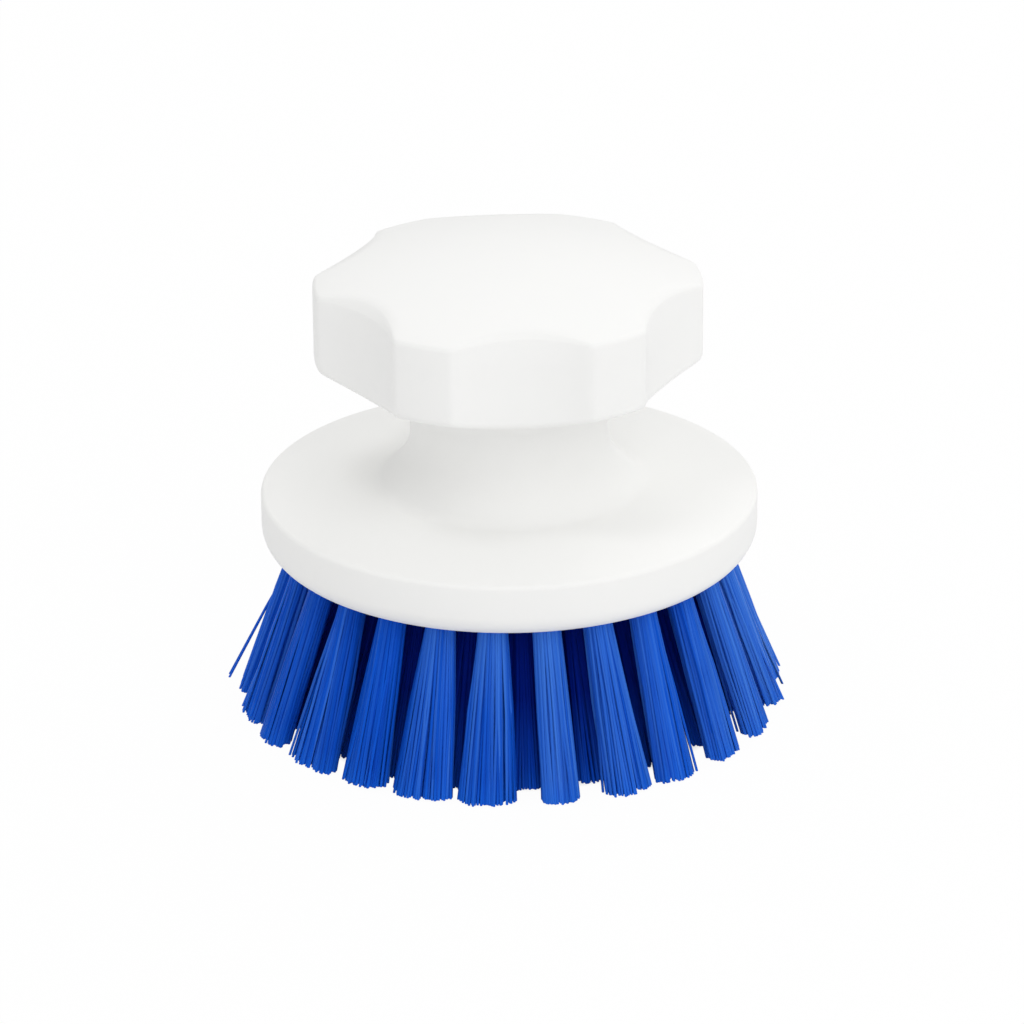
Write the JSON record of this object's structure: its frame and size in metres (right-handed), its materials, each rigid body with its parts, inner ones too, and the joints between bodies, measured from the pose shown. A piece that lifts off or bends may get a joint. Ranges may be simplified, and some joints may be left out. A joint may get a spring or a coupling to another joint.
{
  "type": "milk churn brush",
  "caption": "Round hand brush with a scalloped palm knob on a short neck, and a disc of stiff bristle tufts that flare outwards, for scrubbing churns and pails.",
  "frame": {"origin": "on the brush's axis, in the plane of the bristle tips", "axes": "+Z along the brush's axis from the bristle tips to the knob, -Y through the middle of a scallop"},
  "size_m": [0.1108, 0.1107, 0.0949],
  "materials": {
    "stock_plastic": "white moulded polypropylene, smooth with a soft sheen",
    "bristle_filament": "bright blue straight filament, semi-gloss",
    "staple_steel": "drawn stainless wire"
  },
  "bodies": {
    "root": {"knob": "stock_plastic", "disc": "stock_plastic", "bristles_outer": "bristle_filament", "bristles_second": "bristle_filament", "bristles_third": "bristle_filament", "bristles_centre": "bristle_filament", "staple_outer_01": "staple_steel", "staple_outer_02": "staple_steel", "staple_outer_03": "staple_steel", "staple_outer_04": "staple_steel", "staple_outer_05": "staple_steel", "staple_outer_06": "staple_steel", "staple_outer_07": "staple_steel", "staple_outer_08": "staple_steel", "staple_outer_09": "staple_steel", "staple_outer_10": "staple_steel", "staple_outer_11": "staple_steel", "staple_outer_12": "staple_steel", "staple_outer_13": "staple_steel", "staple_outer_14": "staple_steel", "staple_outer_15": "staple_steel", "staple_outer_16": "staple_steel", "staple_outer_17": "staple_steel", "staple_outer_18": "staple_steel", "staple_outer_19": "staple_steel", "staple_outer_20": "staple_steel", "staple_outer_21": "staple_steel", "staple_outer_22": "staple_steel", "staple_outer_23": "staple_steel", "staple_outer_24": "staple_steel", "staple_outer_25": "staple_steel", "staple_second_01": "staple_steel", "staple_second_02": "staple_steel", "staple_second_03": "staple_steel", "staple_second_04": "staple_steel", "staple_second_05": "staple_steel", "staple_second_06": "staple_steel", "staple_second_07": "staple_steel", "staple_second_08": "staple_steel", "staple_second_09": "staple_steel", "staple_second_10": "staple_steel", "staple_second_11": "staple_steel", "staple_second_12": "staple_steel", "staple_second_13": "staple_steel", "staple_second_14": "staple_steel", "staple_second_15": "staple_steel", "staple_second_16": "staple_steel", "staple_second_17": "staple_steel", "staple_second_18": "staple_steel", "staple_second_19": "staple_steel", "staple_second_20": "staple_steel", "staple_third_01": "staple_steel", "staple_third_02": "staple_steel", "staple_third_03": "staple_steel", "staple_third_04": "staple_steel", "staple_third_05": "staple_steel", "staple_third_06": "staple_steel", "staple_third_07": "staple_steel", "staple_third_08": "staple_steel", "staple_centre_01": "staple_steel"}
  },
  "joints": []
}
